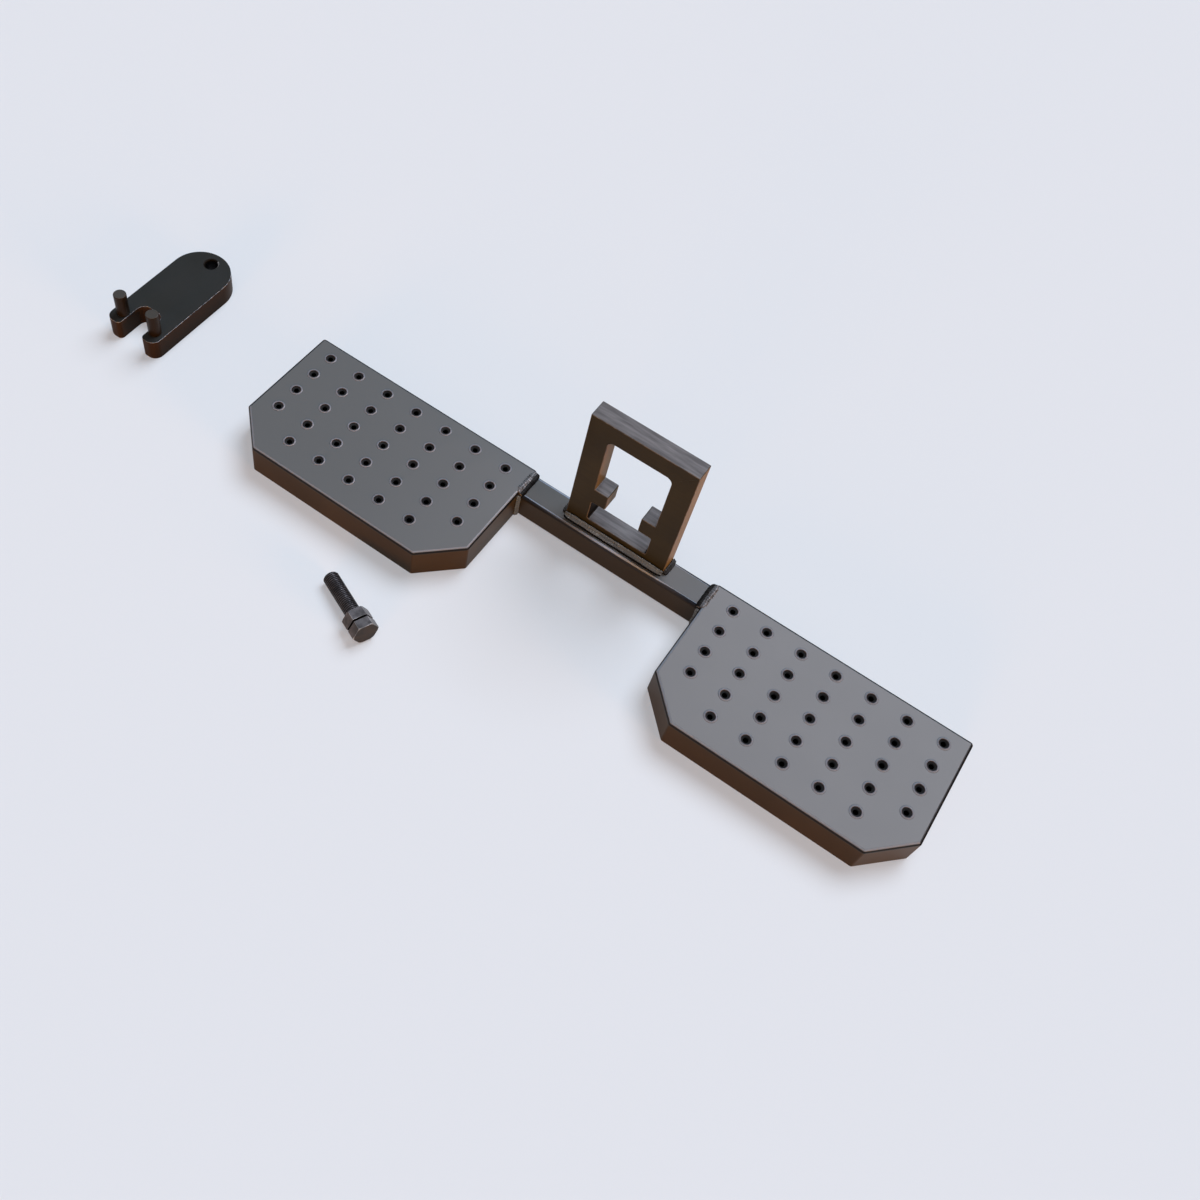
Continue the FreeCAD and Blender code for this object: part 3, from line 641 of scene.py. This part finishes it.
# the bolt's own frame: X from the end of the head towards the tip
boltMount = mountNamed("bolt_tip_face")
boltAxis = Vector(boltMount["axis"]).normalized()
boltPoint = Vector(boltMount["pos_m"])
boltReaches = [(vert.co - boltPoint).dot(boltAxis) for vert in nodes["clamp_bolt"].data.vertices]
boltStart = boltPoint + boltAxis * min(boltReaches)
boltLength = max(boltReaches) - min(boltReaches)
boltRadius = boltThread["crestRadius"]
boltFrame = Matrix.Translation(boltStart) @ boltAxis.to_track_quat("X", "Z").to_matrix().to_4x4()

headMesh = bmesh.new()
headMesh.from_mesh(nodes["clamp_bolt"].data)
bmesh.ops.remove_doubles(headMesh, verts=headMesh.verts, dist=solidFinish["joinDistance"])
bmesh.ops.transform(headMesh, matrix=boltFrame.inverted(), verts=headMesh.verts)
trimAt(headMesh, boltThread["headHeight"] - boltThread["headTrim"], True)
bmesh.ops.dissolve_limit(headMesh, angle_limit=solidFinish["flatAngle"], verts=headMesh.verts,
                         edges=headMesh.edges)
bmesh.ops.transform(headMesh, matrix=boltFrame, verts=headMesh.verts)
boltHead = addPiece("bolt_head", headMesh, (boltOxide, paintedHighlightSteel))
finishSolid(boltHead, boltThread["headBevel"], sharpAngle)
# The chamfers are painted bright as a painted highlight, the end faces are browner, and what
# faces the narrow gap between head and nut is painted black as painted shade.
chamferCrestSlot = 1
for hexPiece, gapSide in ((boltHead, 1), (nodes["jam_nut"], -1)):
    endSlot = addSlot(hexPiece, endOxide)
    gapShadeSlot = addSlot(hexPiece, threadOxide)
    for face in hexPiece.data.polygons:
        endways = face.normal.dot(boltAxis) * gapSide
        if endways > boltThread["slantedFace"]:
            face.material_index = gapShadeSlot
        elif endways < -boltThread["squareFace"]:
            face.material_index = endSlot
        elif endways < -boltThread["slantedFace"]:
            face.material_index = chamferCrestSlot

pitch = boltThread["pitch"]
threadTurns = math.ceil(boltLength / pitch) + 1
threadMesh = bmesh.new()
rootRadius = boltThread["rootRadius"]
rootEnd = boltThread["rootShare"] * pitch
crestStart = boltThread["crestStart"] * pitch
crestEnd = (boltThread["crestStart"] + boltThread["crestShare"]) * pitch
sweepThread(threadMesh, [(0, rootRadius), (rootEnd, rootRadius), (crestStart, boltRadius),
                         (crestEnd, boltRadius), (pitch, rootRadius)],
            pitch, threadTurns, boltThread["stepsPerTurn"])
for face in threadMesh.faces:
    middle = face.calc_center_median()
    if math.hypot(middle.y, middle.z) > boltRadius - boltThread["crestTolerance"]:
        face.material_index = chamferCrestSlot
trimAt(threadMesh, boltLength, True)
trimAt(threadMesh, boltThread["headHeight"] - boltThread["threadOverlap"], False)
for vert in threadMesh.verts:
    radial = Vector((0, vert.co.y, vert.co.z))
    beyond = vert.co.x - (boltLength - boltThread["tipChamfer"])
    limit = boltRadius - max(0, beyond)
    if radial.length > limit:
        radial *= limit / radial.length
        vert.co = Vector((vert.co.x, radial.y, radial.z))
bmesh.ops.transform(threadMesh, matrix=boltFrame, verts=threadMesh.verts)
boltShank = addPiece("bolt_thread", threadMesh, (threadOxide, threadCrest))
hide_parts("clamp_bolt")
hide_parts("clamp_bolt")

coreThread = {
    "pitch": 2.54 * mm,
    "depth": 0.1 * mm,
    "stepsPerTurn": 28,
    "rootInWall": 0.05 * mm,
    "crestEnds": (0.45, 0.55),       # of the pitch
    "bottomGap": 0.5 * mm,
    "mouthRadius": 10.5 * mm,
    "highlightSide": Vector((0.88, 0.48)),
    "highlightShare": 0.75,
    "mouthLevels": (0.3, 0.95),      # how far the sunk cone looks up
}

coreMount = mountNamed("lock_plate_thread")
coreRadius = coreMount["dims"]["r_mm"] * mm
coreLength = coreMount["dims"]["length_mm"] * mm
coreBottom = Vector(coreMount["pos_m"]) - upward * (coreLength / 2)

# the sunk mouth of the hole is painted black as painted shade, with a painted highlight on one
# side
lockPlate = nodes["lock_plate"]
mouthShadeSlot = addSlot(lockPlate, paintedShadeCoat)
mouthHighlightSlot = addSlot(lockPlate, paintedHighlightSteel)
coneLevel, flatLevel = coreThread["mouthLevels"]
for face in lockPlate.data.polygons:
    reach = (face.center - coreBottom).xy
    if abs(face.normal.z) < flatLevel and reach.length < coreThread["mouthRadius"]:
        onSide = reach.dot(coreThread["highlightSide"]) > coreThread["highlightShare"] * reach.length
        bright = onSide and face.normal.z > coneLevel
        face.material_index = mouthHighlightSlot if bright else mouthShadeSlot

pitch = coreThread["pitch"]
coreMesh = bmesh.new()
wallRadius = coreRadius + coreThread["rootInWall"]
crestRadius = coreRadius - coreThread["depth"]
crestStart, crestEnd = coreThread["crestEnds"]
sweepThread(coreMesh, [(0, wallRadius), (crestStart * pitch, crestRadius),
                       (crestEnd * pitch, crestRadius), (pitch, wallRadius)],
            pitch, round(coreLength / pitch) - 1, coreThread["stepsPerTurn"])
threadBottom = coreBottom + upward * coreThread["bottomGap"]
coreFrame = Matrix.Translation(threadBottom) @ Matrix.Rotation(-math.pi / 2, 4, "Y")
bmesh.ops.transform(coreMesh, matrix=coreFrame, verts=coreMesh.verts)
addPiece("lock_plate_thread", coreMesh, (boreSteel,))

print("floor, light and camera")

studio = {
    "backdropColour": "#e1e4ec",
    "floorColour": "#dbded9",
    "floorGlow": 0.4,        # share of the floor that the camera sees without shading
    "floorBounce": "#8a6a4e",
    "floorWidth": 30000 * mm,
    "skyStrength": 0.17,
    "zenith": "#dfe8fb",
    "zenithHeight": 0.75,    # sine of the angle above the horizon
    "horizon": "#6e4526",
}


# 1 for rays from the camera, a reflection or glass, and 0 for the rays that only light the object
def shownRays(tree):
    rays = addNode(tree, "LightPath")
    seen = addNode(tree, "Math", {"operation": "MAXIMUM"},
                   {0: rays.outputs["Is Camera Ray"], 1: rays.outputs["Is Glossy Ray"]})
    seen = addNode(tree, "Math", {"operation": "MAXIMUM"},
                   {0: seen.outputs[0], 1: rays.outputs["Is Transmission Ray"]})
    return seen.outputs[0]


# pale to the camera and in reflections, with a warm bounce that browns what faces down
floorMaterial, tree, output = startMaterial("paleStudioFloor")
seen = shownRays(tree)
paint = mixColours(tree, seen, studio["floorBounce"], studio["floorColour"])
matte = addNode(tree, "BsdfDiffuse", None, {"Color": paint})
paper = addNode(tree, "Emission",
                {"Color": linear(studio["backdropColour"]), "Strength": 1.0})
share = addNode(tree, "MapRange", {"To Max": studio["floorGlow"]}, {"Value": seen})
surface = addNode(tree, "MixShader", None, {0: share.outputs["Result"], 1: matte.outputs["BSDF"],
                                            2: paper.outputs["Emission"]})
tree.links.new(surface.outputs["Shader"], output.inputs["Surface"])

floorMesh = bmesh.new()
bmesh.ops.create_grid(floorMesh, x_segments=1, y_segments=1, size=studio["floorWidth"] / 2)
floor = placeMesh("floor", floorMesh, (floorMaterial,))

# a black sheet on the floor under each tread is painted shade, so the view through its holes
# stays dark
shadeSheet = {"colour": "#070707", "inset": 1.5 * mm, "cornerCut": 50 * mm, "height": 0.2 * mm}
shadeSheetMaterial, tree, output = startMaterial("paintedShadeSheet")
sheetSurface = addNode(tree, "BsdfDiffuse", {"Color": linear(shadeSheet["colour"])})
tree.links.new(sheetSurface.outputs["BSDF"], output.inputs["Surface"])
inset, cut = shadeSheet["inset"], shadeSheet["cornerCut"]
for side in ("left", "right"):
    low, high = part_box(side + "_pad")
    shadeSheetMesh = bmesh.new()
    corners = [(low.x + inset, high.y - inset), (low.x + inset, low.y + cut),
               (low.x + cut, low.y + inset), (high.x - cut, low.y + inset),
               (high.x - inset, low.y + cut), (high.x - inset, high.y - inset)]
    shadeSheetMesh.faces.new([shadeSheetMesh.verts.new((x, y, shadeSheet["height"])) for x, y in corners])
    shadeSheetPiece = placeMesh(side + "_shade_sheet", shadeSheetMesh, (shadeSheetMaterial,))

# pale to the camera, while the light comes from a cool sky over a warm horizon
world = bpy.data.worlds.new("paleRoom")
world.use_nodes = True
bpy.context.scene.world = world
tree = world.node_tree
tree.nodes.clear()
seen = shownRays(tree)
direction = addNode(tree, "TexCoord").outputs["Generated"]
height = addNode(tree, "SeparateXYZ", None, {"Vector": direction})
rise = addNode(tree, "MapRange", span((0, studio["zenithHeight"])),
               {"Value": height.outputs["Z"]})
skyColour = mixColours(tree, rise.outputs["Result"], studio["horizon"], studio["zenith"])
sky = addNode(tree, "Background", {"Strength": studio["skyStrength"]}, {"Color": skyColour})
backdrop = addNode(tree, "Background",
                   {"Color": linear(studio["backdropColour"]), "Strength": 1.0})
blend = addNode(tree, "MixShader", None, {0: seen, 1: sky.outputs[0], 2: backdrop.outputs[0]})
addNode(tree, "OutputWorld", None, {"Surface": blend.outputs[0]})

# direction the light comes from, strength in W per square metre, disc width in degrees, colour,
# and whether gloss mirrors it
lamps = {
    "behindSoftbox": ((0.1, 0.55, 0.83), 3.6, 38, "#dde8ff", True),
    "overheadSoftbox": ((0, -0.2, 0.98), 0.35, 16, "#eef4ff", True),
    "warmFront": ((0.1, -1, 0.05), 3.4, 26, "#ffa648", False),
    "warmSide": ((1, -0.1, 0.05), 4.4, 24, "#ffb674", False),
}
for lampName, (source, strength, width, tint, inGloss) in lamps.items():
    lamp = bpy.data.lights.new(lampName, "SUN")
    lamp.energy = strength
    lamp.angle = math.radians(width)
    lamp.color = linear(tint)[:3]
    holder = bpy.data.objects.new(lampName, lamp)
    holder.rotation_euler = Vector(source).to_track_quat("Z", "Y").to_euler()
    holder.visible_glossy = inGloss
    bpy.context.scene.collection.objects.link(holder)

# fitted to the holes and corners in the photograph
viewpoint = {
    "place": (0.24742, -0.80696, 1.23119),     # metres
    "turn": (32.5876, -6.3022, 34.7838),       # degrees
    "sensorWidth": 36,                         # millimetres, as is the lens
    "lens": 37.082,
    "shift": (0.075, -0.03333),                # shares of the picture's width
}
lensData = bpy.data.cameras.new("photoCamera")
lensData.sensor_width = viewpoint["sensorWidth"]
lensData.lens = viewpoint["lens"]
lensData.shift_x, lensData.shift_y = viewpoint["shift"]
camera = bpy.data.objects.new("photoCamera", lensData)
camera.location = viewpoint["place"]
camera.rotation_euler = [math.radians(angle) for angle in viewpoint["turn"]]
bpy.context.scene.collection.objects.link(camera)
bpy.context.scene.camera = camera
bpy.context.scene.view_settings.view_transform = "Standard"

print("sizes")
